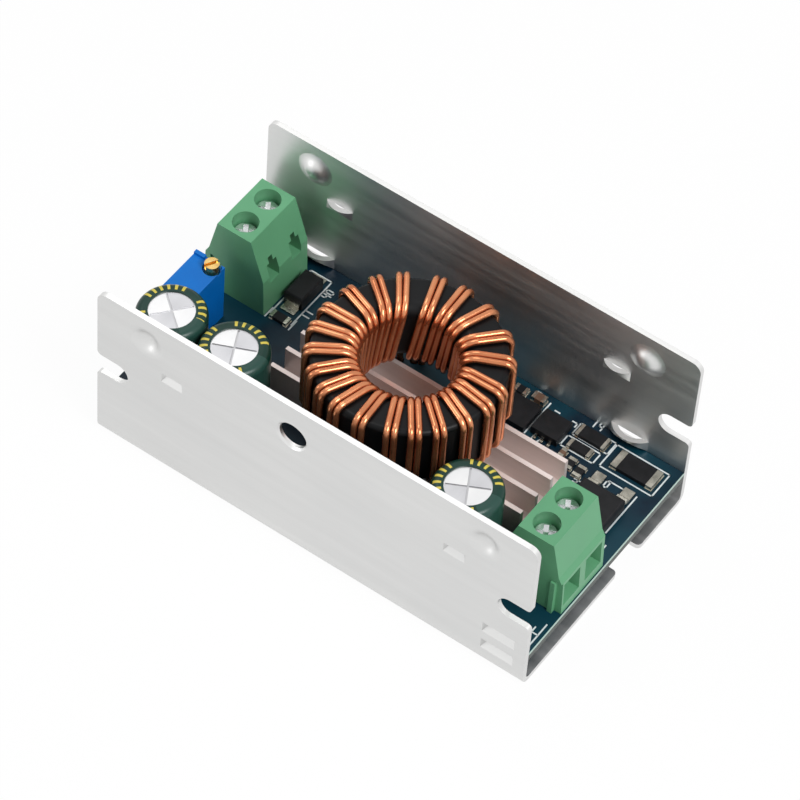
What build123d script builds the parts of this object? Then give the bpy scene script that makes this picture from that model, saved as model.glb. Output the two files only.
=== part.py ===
from build123d import *
from math import asin, cos, degrees, radians, sin
import os

# Buck converter module in an open aluminium channel.
# Millimetres. +X runs along the channel to the input end, +Y to the far wall, +Z up.
# The origin is on the underside of the channel's base, at its middle.

# Channel: one folded sheet
CASE_LENGTH = 70.0
CASE_WIDTH = 38.7
CASE_HEIGHT = 29.2
SHEET = 0.8
BEND_OUTER = 1.6
WALL_CORNER = 1.5
LIP_CORNER = 0.7

# How far a cut runs past what it cuts
OVERCUT = 1.0

NOTCH_DEPTH = 5.1
NOTCH_WIDTH = 3.6
NOTCH_Z = 14.6

BASE_SLOT_DEPTH = 5.0
BASE_SLOT_WIDTH = 5.3
BASE_SLOT_Y = 5.85
BASE_SLOT_CORNER = 0.9

WALL_HOLE_DIAMETER = 4.3
WALL_HOLE_X = -3.3
WALL_HOLE_Z = 23.2
WALL_HOLE_EDGE = 0.3

# Insets here and below are from the nearer end
DIMPLE_INSET = 8.0
DIMPLE_Z = 24.7
DIMPLE_RADIUS = 3.1
DIMPLE_RISE = 1.15
DIMPLE_SINK = 0.02

# Pressed tabs: each is cut along its top edge and pushed inwards, most at that edge
UPPER_TAB_INSET = 12.3
UPPER_TAB_LENGTH = 4.3
UPPER_TAB_TOP = 20.2
UPPER_TAB_PUSH = 1.0
UPPER_TAB_DROP = 1.7
NEAR_BOARD_TAB_INSET = 4.4
FAR_BOARD_TAB_INSET = 9.0
BOARD_TAB_LENGTH = 6.0
BOARD_TAB_PUSH = 1.6
BOARD_TAB_DROP = 1.9
TAB_ROOT = 0.3
TAB_LIP = 0.3
TAB_END_WALL = 0.45

# Circuit board, resting on the lower tabs and held down by the upper ones
BOARD_THICKNESS = 1.6
BOARD_BOTTOM = 5.0
BOARD_SIDE_GAP = 0.05
BOARD_TOP = BOARD_BOTTOM + BOARD_THICKNESS
BOARD_TAB_TOPS = (BOARD_BOTTOM, BOARD_TOP + BOARD_SIDE_GAP + BOARD_TAB_DROP)
PIN_TAIL = 1.4
PIN_TIP = BOARD_BOTTOM - PIN_TAIL
HOLE_CLEARANCE = 0.2
SOLDER_HEIGHT = 0.9
SOLDER_FLARE = 0.38
SOLDER_COLLAR = 0.15

# Screw terminal blocks, two poles each. Heights are above the board.
POLE_PITCH = 5.08
POLES = (-POLE_PITCH / 2, POLE_PITCH / 2)
BLOCK_WIDTH = 2 * POLE_PITCH + 0.04
BLOCK_DEPTH = 10.3
BLOCK_SHOULDER = 6.6
BLOCK_REAR_LEAN = 0.25
BLOCK_TOP_REAR = 2.6
BLOCK_TOP_FRONT = 8.2
BLOCK_SLANT_END = 9.5
BLOCK_SLANT_FOOT = 7.6
BLOCK_LEDGE = 10.05
SCREW_DEPTH = 5.35
INPUT_BLOCK_INSET = 0.2
INPUT_BLOCK_Y = -6.1
OUTPUT_BLOCK_OVERHANG = 1.1
# Share of the room between trimmer and far wall that is on the wall's side of the block
OUTPUT_BLOCK_WALL_SHARE = 0.415

RUNNING_GAP = 0.05
CLAMP_GAP = 0.1
CLAMP_TRAVEL = 3.0
CLAMP_LENGTH = 4.0
CLAMP_FLOOR = 0.8
CLAMP_SIDE = 0.55
CLAMP_ROOF = 0.8

BAR_WIDTH = 2.5
BAR_BOTTOM = 4.9
BAR_THICKNESS = 0.6
BAR_END_PLAY = 0.9
BAR_SIDE_GAP = 0.15
BAR_TOP = BAR_BOTTOM + BAR_THICKNESS
TERMINAL_PIN_DIAMETER = 1.0

CLAMP_WIDTH = BAR_WIDTH + 2 * BAR_SIDE_GAP + 2 * CLAMP_SIDE
CLAMP_BOTTOM = BAR_BOTTOM - CLAMP_GAP - CLAMP_TRAVEL - CLAMP_FLOOR
CLAMP_ROOF_BOTTOM = BAR_TOP + CLAMP_GAP
CHAMBER_LENGTH = CLAMP_LENGTH + 2 * CLAMP_GAP
CHAMBER_WIDTH = CLAMP_WIDTH + 2 * CLAMP_GAP
CHAMBER_TOP = CLAMP_ROOF_BOTTOM + CLAMP_ROOF + CLAMP_TRAVEL + CLAMP_GAP
CHAMBER_REAR = SCREW_DEPTH - CHAMBER_LENGTH / 2
CHAMBER_FRONT = SCREW_DEPTH + CHAMBER_LENGTH / 2
BAR_REAR = CHAMBER_REAR - BAR_END_PLAY
BAR_FRONT = CHAMBER_FRONT + BAR_END_PLAY / 2

SCREW_HEAD_DIAMETER = 3.5
SCREW_HEAD_HEIGHT = 1.45
SCREW_SHANK_DIAMETER = 2.4
SCREW_TIP = BAR_TOP + 3 * RUNNING_GAP
SCREW_SLOT_WIDTH = 0.7
SCREW_SLOT_DEPTH = 0.8
SCREW_CROSS_REACH = 2.5
SCREW_TURN = 30.0
SCREW_EDGE = 0.25

SHELF = 0.6
SHELF_TOP = CHAMBER_TOP + SHELF
SHELF_HOLE_GAP = 0.15
TOOL_HOLE_GAP = 0.125
HEAD_PLAY = 0.02
HEAD_SINK = 2.0
BLOCK_HEIGHT = SHELF_TOP + HEAD_PLAY + SCREW_HEAD_HEIGHT + HEAD_SINK
ENTRY_WIDTH = 3.8
ENTRY_BOTTOM = 1.5
ENTRY_TOP = 6.1
THROAT_WIDTH = 3.2
THROAT_BOTTOM = 1.9
THROAT_START = 8.3
WINDOW_WIDTH = 2.2
WINDOW_BOTTOM = 5.4
WINDOW_TOP = 8.5
WINDOW_SLIT_WIDTH = 0.9
WINDOW_SLIT_TOP = 9.4
RIB_START = 8.5
RIB_WIDTH = 0.7
RIB_HEIGHT = 6.4
RIB_DEPTH = 0.35

# Electrolytic capacitors
CAPACITOR_END_GAP = 1.68
CAPACITOR_SIDE_GAP = 0.46
CAPACITOR_WALL_GAP = 1.8
CAPACITOR_BLOCK_GAP = 0.18
SLEEVE_RADIUS = 4.92
SLEEVE_WALL = 0.2
SLEEVE_TOP_OPENING = 3.2
CAN_BOTTOM = 0.25
CAN_HEIGHT = 16.1
CAN_EDGE = 0.9
CAN_ROLL_Z = 2.6
CAN_ROLL_DEPTH = 0.45
CAN_ROLL_HALF_HEIGHT = 0.7
SEAL_RADIUS = 4.0
SEAL_HEIGHT = 1.4
VENT_WIDTH = 0.28
VENT_DEPTH = 0.15
VENT_REACH = 3.0
VENT_TURNS = [-39.0, -65.0, -62.0]
CAPACITOR_LEAD_PITCH = 5.0
CAPACITOR_LEAD_DIAMETER = 0.6

# Adjusting potentiometer
TRIMMER_END_GAP = 0.1
TRIMMER_NEST = 0.14
TRIMMER_WIDTH = 4.8
TRIMMER_LENGTH = 9.5
TRIMMER_FOOT = 0.3
TRIMMER_TOP = 10.4
TRIMMER_FOOT_SIZE = 1.0
TRIMMER_RIDGE_WIDTH = 0.6
TRIMMER_RIDGE_LENGTH = 1.7
TRIMMER_RIDGE_RISE = 0.4
TRIMMER_SCREW_INSET_X = 1.3
TRIMMER_SCREW_INSET_Y = 1.2
TRIMMER_SCREW_DIAMETER = 2.1
TRIMMER_SCREW_RISE = 1.1
TRIMMER_SCREW_SUNK = 2.0
TRIMMER_BORE_GAP = 0.08
TRIMMER_PIT_DIAMETER = 2.7
TRIMMER_PIT_DEPTH = 0.5
TRIMMER_SLOT_WIDTH = 0.5
TRIMMER_SLOT_DEPTH = 0.7
TRIMMER_SCREW_TURN = 60.0
TRIMMER_PIN_PITCH = 2.54
TRIMMER_PIN_DIAMETER = 0.5
TRIMMER_PIN_STEPS = (-1, 0, 1)

# Power transistors under the finned heatsink
TRANSISTOR_SIZE = (5.0, 6.0, 1.0)
TRANSISTOR_PITCH = 9.6
TRANSISTOR_COUNT = 4
PAD_THICKNESS = 0.5
PAD_MARGIN = 1.2
HEATSINK_LENGTH = 40.75
HEATSINK_BLOCK_GAP = 0.5
HEATSINK_CAPACITOR_GAP = 1.6
HEATSINK_WALL_GAP = 12.7
HEATSINK_BASE = 1.5
FIN_COUNT = 4
FIN_THICKNESS = 0.65
FIN_TOP = 13.85

# Toroidal choke: a coated ring core wound with two wires side by side
CHOKE_X = 1.72
CHOKE_Y = 0.0
# The ring's size follows the channel's, so that it clears the cans
CORE_RADIUS = 0.19 * CASE_LENGTH
CORE_BORE_RADIUS = 7.4
CORE_HEIGHT = 10.3
CORE_RIM_EDGE = 0.8
CORE_BORE_EDGE = 1.8
WIRE_DIAMETER = 0.9
WIRE_LIFT = 0.03
WIRE_STANDOFF = WIRE_DIAMETER / 2 + WIRE_LIFT
CHOKE_REST = 0.05
CORE_BOTTOM = FIN_TOP + CHOKE_REST + WIRE_DIAMETER + WIRE_LIFT
RIM_SPREAD = 2.2
BORE_SPREAD = 3.85
BORE_SKEW = 13.0
LAST_LEAD_ANGLE = 116.5
# Hand wound, so each turn has its own angle: at the rim, then in the bore
RIM_ANGLES = [129, 145, 163.5, 182.5, 198, 215, 231, 245.5, 259, 276, 294.5,
              308, 322, 338, 354.5, 368, 390, 409.5, 431, 451, 467.5]
BORE_ANGLES = [134, 150.5, 167, 183.5, 200, 216, 232, 247.5, 263, 278.5, 294,
               309.5, 325, 341, 357.5, 374, 393.5, 412, 432, 449.5, 467]

# Surface mounted parts on the board's top. A place is its inset from an end, then from the far wall.
SHUNT_RESISTOR = (5.25, 3.75, 0, 6.6, 3.15, 0.65)
SHUNT_TERMINAL = 0.95
# Beside the output block
DIODE_PLACE = (11.4, 6.35)
DIODE_BODY = (3.0, 5.0, 2.3)
DIODE_SPAN = 7.9
DIODE_STRIP = (2.3, 0.3)
OUTPUT_CHIP_RESISTOR = (11.4, 11.8, 0, 2.8, 1.3, 0.6)
# Chips towards the input end: place, turn, then length, width and height
CHIP_TERMINAL = 0.5
INPUT_CHIP_RESISTORS = [(12.95, 2.8, 0, 4.6, 2.0, 0.7), (13.3, 5.4, 0, 3.6, 1.5, 0.6),
                        (11.25, 8.65, 90, 2.0, 1.25, 0.5), (13.0, 8.25, 90, 2.0, 1.25, 0.5),
                        (25.3, 1.85, 0, 2.0, 1.25, 0.5)]
CHIP_CAPACITORS = [(14.7, 7.6, 90, 1.6, 0.8, 0.8), (22.4, 1.75, 0, 2.0, 1.25, 0.9)]
CONTROL_CHIP_PLACE = (23.3, 5.35)
CONTROL_CHIP_SIZE = (4.4, 4.6, 0.95)
DRIVER_PLACE = (18.25, 5.05)
DRIVER_BODY = (4.2, 3.9, 1.4)
DRIVER_SPAN = 5.3
DRIVER_LEAD = (0.42, 0.2)
DRIVER_LEADS_A_SIDE = 3
DRIVER_LEAD_PITCH = 1.1
PACKAGE_PLACE = (6.3, 13.15)
PACKAGE_BODY = (6.5, 6.0, 2.25)
PACKAGE_LEAD_PITCH = 4.6
PACKAGE_LEAD = (1.6, 0.5)
PACKAGE_LEAD_REACH = 3.0
PACKAGE_TAB = (5.3, 1.0, 0.5)
BODY_LIFT = 0.05
BODY_EDGE = 0.2

WALL_INSIDE = CASE_WIDTH / 2 - SHEET
END = CASE_LENGTH / 2


def box_between(x0, x1, y0, y1, z0, z1):
    """A box given by its two limits along each axis."""
    size = (x1 - x0, y1 - y0, z1 - z0)
    middle = ((x0 + x1) / 2, (y0 + y1) / 2, (z0 + z1) / 2)
    return Pos(*middle) * Box(*size)


def post(x, y, z0, z1, radius):
    """An upright round bar between two heights."""
    return Pos(x, y, (z0 + z1) / 2) * Cylinder(radius, z1 - z0)


def group(pieces):
    """Like pieces kept as separate solids of one sub-part."""
    return Compound(children=list(pieces))


def louver(face_y, behind, half_length, push, drop):
    """An arched bulge that grows inwards from a face of the near wall. Its top is at Z = 0."""
    side = Polyline((face_y - behind, 0), (face_y + push, 0), (face_y + push, -TAB_LIP), (face_y, -drop),
                    (face_y - behind, -drop), close=True)
    arch = ThreePointArc((-half_length, face_y), (0, face_y + push), (half_length, face_y))
    rest = Polyline(arch @ 1, (half_length, face_y - behind), (-half_length, face_y - behind), arch @ 0)
    wedge = extrude(Plane.YZ * make_face(side), half_length, both=True)
    return wedge & extrude(make_face([arch, rest]), drop, both=True)


def pressed_tab(x, top, length, push, drop):
    """What a tab on the near wall adds inside it and takes from outside it."""
    here = Pos(x, 0, top)
    added = here * louver(-WALL_INSIDE, TAB_ROOT, length / 2, push, drop)
    taken = here * louver(-CASE_WIDTH / 2, OVERCUT, length / 2 - TAB_END_WALL, push, drop)
    return added, taken


def dimple(x):
    """A round dent in the near wall, pushed inwards, with a smooth brim."""
    bend = (DIMPLE_RADIUS ** 2 + DIMPLE_RISE ** 2) / (4 * DIMPLE_RISE)
    turn = degrees(asin(DIMPLE_RADIUS / 2 / bend))
    crown = JernArc((0, DIMPLE_RISE - DIMPLE_SINK), (1, 0), bend, -turn)
    brim = JernArc(crown @ 1, crown % 1, bend, turn)
    rest = Polyline(brim @ 1, (DIMPLE_RADIUS, -TAB_ROOT), (0, -TAB_ROOT), crown @ 0)
    dent = revolve(make_face([crown, brim, rest]), Axis.Y)
    return Pos(x, -WALL_INSIDE, DIMPLE_Z) * dent, Pos(x, -CASE_WIDTH / 2, DIMPLE_Z) * dent


def case_channel():
    """The folded aluminium channel with its notches, slots, dimples and tabs."""
    outer = Pos(0, CASE_HEIGHT / 2) * Rectangle(CASE_WIDTH, CASE_HEIGHT)
    outer = fillet(outer.vertices().sort_by(Axis.Y)[:2], BEND_OUTER)
    inner = Pos(0, SHEET + CASE_HEIGHT / 2) * Rectangle(2 * WALL_INSIDE, CASE_HEIGHT)
    inner = fillet(inner.vertices().sort_by(Axis.Y)[:2], BEND_OUTER - SHEET)
    case = extrude(Plane.YZ * (outer - inner), END, both=True)

    across = CASE_WIDTH + 2 * OVERCUT
    for side in (-1, 1):
        notch_end = END - NOTCH_DEPTH + NOTCH_WIDTH / 2
        case -= Pos(side * notch_end, 0, NOTCH_Z) * Rot(90, 0, 0) * Cylinder(NOTCH_WIDTH / 2, across)
        reach = END + OVERCUT - notch_end
        case -= Pos(side * (notch_end + reach / 2), 0, NOTCH_Z) * Box(reach, across, NOTCH_WIDTH)
        slot = Rectangle(2 * BASE_SLOT_DEPTH, BASE_SLOT_WIDTH)
        slot = fillet(slot.vertices(), BASE_SLOT_CORNER)
        case -= Pos(side * END, BASE_SLOT_Y, 0) * extrude(slot, SHEET + OVERCUT, both=True)

    ends = case.edges().filter_by(Axis.Y)
    ends = ends.filter_by_position(Axis.Z, CASE_HEIGHT - SHEET / 2, CASE_HEIGHT + SHEET / 2)
    case = fillet(ends, WALL_CORNER)
    lips = case.edges().filter_by(Axis.Y)
    lips = lips.filter_by_position(Axis.Z, NOTCH_Z - NOTCH_WIDTH, NOTCH_Z + NOTCH_WIDTH)
    lips = [edge for edge in lips if abs(edge.center().X) > END - SHEET / 2]
    case = fillet(lips, LIP_CORNER)
    corners = case.edges().filter_by(Axis.Z)
    corners = corners.filter_by_position(Axis.Y, BASE_SLOT_Y - BASE_SLOT_WIDTH,
                                         BASE_SLOT_Y + BASE_SLOT_WIDTH)
    corners = [edge for edge in corners if abs(edge.center().X) > END - SHEET / 2]
    case = fillet(corners, LIP_CORNER)

    board_tab = (BOARD_TAB_LENGTH, BOARD_TAB_PUSH, BOARD_TAB_DROP)
    near_shapes = []
    far_shapes = []
    for side in (-1, 1):
        shared = [dimple(side * (END - DIMPLE_INSET)),
                  pressed_tab(side * (END - UPPER_TAB_INSET), UPPER_TAB_TOP, UPPER_TAB_LENGTH, UPPER_TAB_PUSH,
                              UPPER_TAB_DROP)]
        near_shapes += shared
        far_shapes += shared
        for top in BOARD_TAB_TOPS:
            far_shapes.append(pressed_tab(side * (END - FAR_BOARD_TAB_INSET), top, *board_tab))
    # The near wall has board tabs at its input end only
    for top in BOARD_TAB_TOPS:
        near_shapes.append(pressed_tab(END - NEAR_BOARD_TAB_INSET, top, *board_tab))
    for added, taken in near_shapes:
        case = case + added - taken
    for added, taken in far_shapes:
        case = case + mirror(added, Plane.XZ) - mirror(taken, Plane.XZ)

    drill = Rot(90, 0, 0) * Cylinder(WALL_HOLE_DIAMETER / 2, SHEET + 2 * OVERCUT)
    rim = Rot(90, 0, 0) * Cone(WALL_HOLE_DIAMETER / 2, WALL_HOLE_DIAMETER / 2 + 2 * WALL_HOLE_EDGE,
                               2 * WALL_HOLE_EDGE)
    case -= Pos(WALL_HOLE_X, -WALL_INSIDE - SHEET / 2, WALL_HOLE_Z) * drill
    case -= Pos(WALL_HOLE_X, -CASE_WIDTH / 2, WALL_HOLE_Z) * rim
    return case


def input_block_rear():
    """X of the input block's rear face."""
    return END - INPUT_BLOCK_INSET - BLOCK_DEPTH


def block_location(is_input):
    """Where a terminal block's rear bottom edge stands on the board."""
    if is_input:
        return Pos(input_block_rear(), INPUT_BLOCK_Y, BOARD_TOP)
    rear = BLOCK_DEPTH - OUTPUT_BLOCK_OVERHANG - END
    room = WALL_INSIDE - (trimmer_place()[1] + TRIMMER_LENGTH / 2) - BLOCK_WIDTH
    middle = WALL_INSIDE - OUTPUT_BLOCK_WALL_SHARE * room - BLOCK_WIDTH / 2
    return Pos(rear, middle, BOARD_TOP) * Rot(0, 0, 180)


def terminal_housing():
    """Moulded two-pole block. Its rear is at X = 0 and the wires enter from +X."""
    outline = Polyline((0, 0), (BLOCK_REAR_LEAN, BLOCK_SHOULDER), (BLOCK_TOP_REAR, BLOCK_HEIGHT),
                       (BLOCK_TOP_FRONT, BLOCK_HEIGHT), (BLOCK_SLANT_END, BLOCK_SLANT_FOOT),
                       (BLOCK_LEDGE, BLOCK_SHOULDER), (BLOCK_DEPTH, 0), close=True)
    block = extrude(Plane.XZ * make_face(outline), BLOCK_WIDTH / 2, both=True)

    side = BLOCK_WIDTH / 2
    rib_end = RIB_START + RIB_WIDTH
    past = BLOCK_DEPTH + OVERCUT
    block -= box_between(rib_end, past, -side - RIB_DEPTH, -side + RIB_DEPTH, -OVERCUT, BLOCK_SHOULDER)
    block += box_between(RIB_START, rib_end, -side - RIB_DEPTH, -side + RIB_DEPTH, 0, RIB_HEIGHT)
    block -= box_between(RIB_START - RUNNING_GAP, rib_end + RUNNING_GAP, side - RIB_DEPTH,
                         side + RIB_DEPTH, -OVERCUT, RIB_HEIGHT + RUNNING_GAP)

    half_bar = BAR_WIDTH / 2 + RUNNING_GAP
    half_throat = THROAT_WIDTH / 2
    into_chamber = CHAMBER_REAR + OVERCUT
    out_of_chamber = CHAMBER_FRONT - OVERCUT
    for y in POLES:
        block -= box_between(CHAMBER_REAR, CHAMBER_FRONT, y - CHAMBER_WIDTH / 2, y + CHAMBER_WIDTH / 2,
                             -OVERCUT, CHAMBER_TOP)
        block -= post(SCREW_DEPTH, y, CHAMBER_TOP - OVERCUT, BLOCK_HEIGHT,
                      SCREW_SHANK_DIAMETER / 2 + SHELF_HOLE_GAP)
        block -= post(SCREW_DEPTH, y, SHELF_TOP, BLOCK_HEIGHT + OVERCUT,
                      SCREW_HEAD_DIAMETER / 2 + TOOL_HOLE_GAP)
        block -= box_between(BAR_REAR - RUNNING_GAP, into_chamber, y - half_bar, y + half_bar,
                             -OVERCUT, BAR_TOP + RUNNING_GAP)
        block -= box_between(out_of_chamber, BAR_FRONT + RUNNING_GAP, y - half_bar, y + half_bar,
                             THROAT_BOTTOM, BAR_TOP + RUNNING_GAP)
        mouth = Pos(BLOCK_DEPTH + RUNNING_GAP, y, (ENTRY_BOTTOM + ENTRY_TOP) / 2) * Rot(0, 90, 0)
        mouth = mouth * Rectangle(ENTRY_TOP - ENTRY_BOTTOM, ENTRY_WIDTH)
        throat = Pos(THROAT_START, y, (THROAT_BOTTOM + BAR_BOTTOM) / 2) * Rot(0, 90, 0)
        throat = throat * Rectangle(BAR_BOTTOM - THROAT_BOTTOM, THROAT_WIDTH)
        block -= loft([throat, mouth])
        block -= box_between(out_of_chamber, THROAT_START + RUNNING_GAP, y - half_throat, y + half_throat,
                             THROAT_BOTTOM, BAR_BOTTOM)
        block -= box_between(-OVERCUT, into_chamber, y - WINDOW_WIDTH / 2, y + WINDOW_WIDTH / 2,
                             WINDOW_BOTTOM, WINDOW_TOP)
        block -= box_between(-OVERCUT, into_chamber, y - WINDOW_SLIT_WIDTH / 2,
                             y + WINDOW_SLIT_WIDTH / 2, WINDOW_BOTTOM, WINDOW_SLIT_TOP)
    return block


def clamp_cage():
    """Rising cage of one pole, at its lowest."""
    half_length = CLAMP_LENGTH / 2
    half_width = CLAMP_WIDTH / 2
    half_inside = half_width - CLAMP_SIDE
    roof_top = CLAMP_ROOF_BOTTOM + CLAMP_ROOF
    cage = box_between(SCREW_DEPTH - half_length, SCREW_DEPTH + half_length, -half_width, half_width,
                       CLAMP_BOTTOM, roof_top)
    cage -= box_between(0, BLOCK_DEPTH, -half_inside, half_inside, CLAMP_BOTTOM + CLAMP_FLOOR,
                        CLAMP_ROOF_BOTTOM)
    hole_radius = SCREW_SHANK_DIAMETER / 2 + RUNNING_GAP
    return cage - post(SCREW_DEPTH, 0, CLAMP_ROOF_BOTTOM - OVERCUT, roof_top + OVERCUT, hole_radius)


def contact_bar():
    """Fixed contact of one pole: bar, strap and board pin in one piece."""
    half = BAR_WIDTH / 2
    bar = box_between(BAR_REAR, BAR_FRONT, -half, half, BAR_BOTTOM, BAR_TOP)
    bar += box_between(BAR_REAR, BAR_REAR + BAR_THICKNESS, -half, half, 0, BAR_TOP)
    return bar + post(BAR_REAR + BAR_THICKNESS / 2, 0, PIN_TIP - BOARD_TOP, 0, TERMINAL_PIN_DIAMETER / 2)


def clamp_screw():
    """Terminal screw with a slot and a cross in its head."""
    head_bottom = SHELF_TOP + HEAD_PLAY
    head = Cylinder(SCREW_HEAD_DIAMETER / 2, SCREW_HEAD_HEIGHT)
    head = chamfer(head.edges().sort_by(Axis.Z)[-1:], SCREW_EDGE)
    screw = Pos(SCREW_DEPTH, 0, head_bottom + SCREW_HEAD_HEIGHT / 2) * head
    screw += post(SCREW_DEPTH, 0, SCREW_TIP, head_bottom + SCREW_EDGE, SCREW_SHANK_DIAMETER / 2)
    slots = Box(SCREW_HEAD_DIAMETER + OVERCUT, SCREW_SLOT_WIDTH, 2 * SCREW_SLOT_DEPTH)
    slots += Box(SCREW_SLOT_WIDTH, SCREW_CROSS_REACH, 2 * SCREW_SLOT_DEPTH)
    return screw - Pos(SCREW_DEPTH, 0, head_bottom + SCREW_HEAD_HEIGHT) * Rot(0, 0, SCREW_TURN) * slots


def capacitor_places():
    """Middles of the three cans: two by the output end, one by the input block."""
    y = SLEEVE_RADIUS + CAPACITOR_WALL_GAP - WALL_INSIDE
    first = SLEEVE_RADIUS + CAPACITOR_END_GAP - END
    second = first + 2 * SLEEVE_RADIUS + CAPACITOR_SIDE_GAP
    third = input_block_rear() - CAPACITOR_BLOCK_GAP - SLEEVE_RADIUS
    return [(first, y), (second, y), (third, y)]


def capacitor_can(turn):
    """Aluminium can with a rolled groove, a scored top and a recess for the seal."""
    radius = SLEEVE_RADIUS - SLEEVE_WALL
    can = Cylinder(radius, CAN_HEIGHT, align=(Align.CENTER, Align.CENTER, Align.MIN))
    can = fillet(can.edges().sort_by(Axis.Z)[-1:], CAN_EDGE)
    can = Pos(0, 0, CAN_BOTTOM) * can
    can -= rolled_groove(radius)
    can -= post(0, 0, 0, SEAL_HEIGHT, SEAL_RADIUS)
    score = Box(2 * VENT_REACH, VENT_WIDTH, 2 * VENT_DEPTH)
    score += Box(VENT_WIDTH, 2 * VENT_REACH, 2 * VENT_DEPTH)
    return can - Pos(0, 0, CAN_BOTTOM + CAN_HEIGHT) * Rot(0, 0, turn) * score


def rolled_groove(radius):
    """Ring that the rolled groove takes from a wall of this radius."""
    arc_radius = (CAN_ROLL_HALF_HEIGHT ** 2 + CAN_ROLL_DEPTH ** 2) / (2 * CAN_ROLL_DEPTH)
    section = Pos(radius - CAN_ROLL_DEPTH + arc_radius, CAN_ROLL_Z) * Circle(arc_radius)
    return revolve(Plane.XZ * section, Axis.Z)


def capacitor_sleeve():
    """Shrunk sleeve, following the can's groove and turned in over its top."""
    inner_radius = SLEEVE_RADIUS - SLEEVE_WALL
    bottom = CAN_BOTTOM
    can_top = CAN_BOTTOM + CAN_HEIGHT
    height = can_top + SLEEVE_WALL - bottom
    outer = Cylinder(SLEEVE_RADIUS, height, align=(Align.CENTER, Align.CENTER, Align.MIN))
    outer = fillet(outer.edges().sort_by(Axis.Z)[-1:], CAN_EDGE + SLEEVE_WALL)
    inner = Cylinder(inner_radius, CAN_HEIGHT, align=(Align.CENTER, Align.CENTER, Align.MIN))
    inner = fillet(inner.edges().sort_by(Axis.Z)[-1:], CAN_EDGE)
    sleeve = outer - Pos(0, 0, -bottom) * rolled_groove(SLEEVE_RADIUS)
    sleeve -= inner - Pos(0, 0, -bottom) * rolled_groove(inner_radius)
    sleeve -= post(0, 0, height - CAN_EDGE, height + OVERCUT, SLEEVE_TOP_OPENING)
    return Pos(0, 0, bottom) * sleeve


def capacitor_seal():
    """Rubber bung in the can's mouth, standing on the board."""
    return post(0, 0, 0, SEAL_HEIGHT, SEAL_RADIUS)


def capacitor_leads():
    """Two wire leads from the seal through the board."""
    radius = CAPACITOR_LEAD_DIAMETER / 2
    half_pitch = CAPACITOR_LEAD_PITCH / 2
    return [post(x, 0, PIN_TIP - BOARD_TOP, 0, radius) for x in (-half_pitch, half_pitch)]


def trimmer_place():
    """Middle of the trimmer, which stands against the first can."""
    y = capacitor_places()[0][1] + SLEEVE_RADIUS - TRIMMER_NEST + TRIMMER_LENGTH / 2
    return (TRIMMER_END_GAP + TRIMMER_WIDTH / 2 - END, y)


def trimmer_parts():
    """Potentiometer body, its brass screw and its three pins."""
    half_x = TRIMMER_WIDTH / 2
    half_y = TRIMMER_LENGTH / 2
    body = box_between(-half_x, half_x, -half_y, half_y, TRIMMER_FOOT, TRIMMER_TOP)
    for y in (TRIMMER_FOOT_SIZE - half_y, half_y - TRIMMER_FOOT_SIZE):
        body += box_between(-half_x, half_x, y - TRIMMER_FOOT_SIZE, y + TRIMMER_FOOT_SIZE, 0, TRIMMER_FOOT)
    body += box_between(-half_x, TRIMMER_RIDGE_LENGTH - half_x, half_y - TRIMMER_RIDGE_WIDTH, half_y,
                        TRIMMER_TOP - TRIMMER_RIDGE_RISE, TRIMMER_TOP + TRIMMER_RIDGE_RISE)
    screw_radius = TRIMMER_SCREW_DIAMETER / 2
    screw_x = half_x - TRIMMER_SCREW_INSET_X
    screw_y = half_y - TRIMMER_SCREW_INSET_Y
    floor = TRIMMER_TOP - TRIMMER_SCREW_SUNK
    body -= post(screw_x, screw_y, floor, TRIMMER_TOP + OVERCUT, screw_radius + TRIMMER_BORE_GAP)
    body -= post(screw_x, screw_y, TRIMMER_TOP - TRIMMER_PIT_DEPTH, TRIMMER_TOP + OVERCUT,
                 TRIMMER_PIT_DIAMETER / 2)

    top = TRIMMER_TOP + TRIMMER_SCREW_RISE
    screw = post(screw_x, screw_y, floor + TRIMMER_BORE_GAP, top, screw_radius)
    slot = Box(TRIMMER_SCREW_DIAMETER + OVERCUT, TRIMMER_SLOT_WIDTH, 2 * TRIMMER_SLOT_DEPTH)
    screw -= Pos(screw_x, screw_y, top) * Rot(0, 0, TRIMMER_SCREW_TURN) * slot

    radius = TRIMMER_PIN_DIAMETER / 2
    pins = [post(0, step * TRIMMER_PIN_PITCH, PIN_TIP - BOARD_TOP, TRIMMER_FOOT, radius)
            for step in TRIMMER_PIN_STEPS]
    here = Pos(*trimmer_place(), BOARD_TOP)
    return here * body, here * screw, group([here * pin for pin in pins])


def through_pins():
    """Every pin that passes the board: its place and its radius."""
    pins = []
    for is_input in (True, False):
        for y in POLES:
            spot = (block_location(is_input) * Pos(BAR_REAR + BAR_THICKNESS / 2, y, 0)).position
            pins.append((spot.X, spot.Y, TERMINAL_PIN_DIAMETER / 2))
    for x, y in capacitor_places():
        for side in (-CAPACITOR_LEAD_PITCH / 2, CAPACITOR_LEAD_PITCH / 2):
            pins.append((x + side, y, CAPACITOR_LEAD_DIAMETER / 2))
    trimmer_x, trimmer_y = trimmer_place()
    for step in TRIMMER_PIN_STEPS:
        pins.append((trimmer_x, trimmer_y + step * TRIMMER_PIN_PITCH, TRIMMER_PIN_DIAMETER / 2))
    for angle in (RIM_ANGLES[0], LAST_LEAD_ANGLE):
        for spread in (-RIM_SPREAD, RIM_SPREAD):
            x, y = choke_point(wire_rim_radius(), angle + spread)
            pins.append((x, y, WIRE_DIAMETER / 2))
    return pins


def circuit_board():
    """The board, as wide as the channel's inside, drilled for every pin."""
    half = WALL_INSIDE - BOARD_SIDE_GAP
    board = box_between(-END, END, -half, half, BOARD_BOTTOM, BOARD_TOP)
    for x, y, radius in through_pins():
        board -= post(x, y, BOARD_BOTTOM - OVERCUT, BOARD_TOP + OVERCUT, radius + HOLE_CLEARANCE)
    return board


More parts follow.
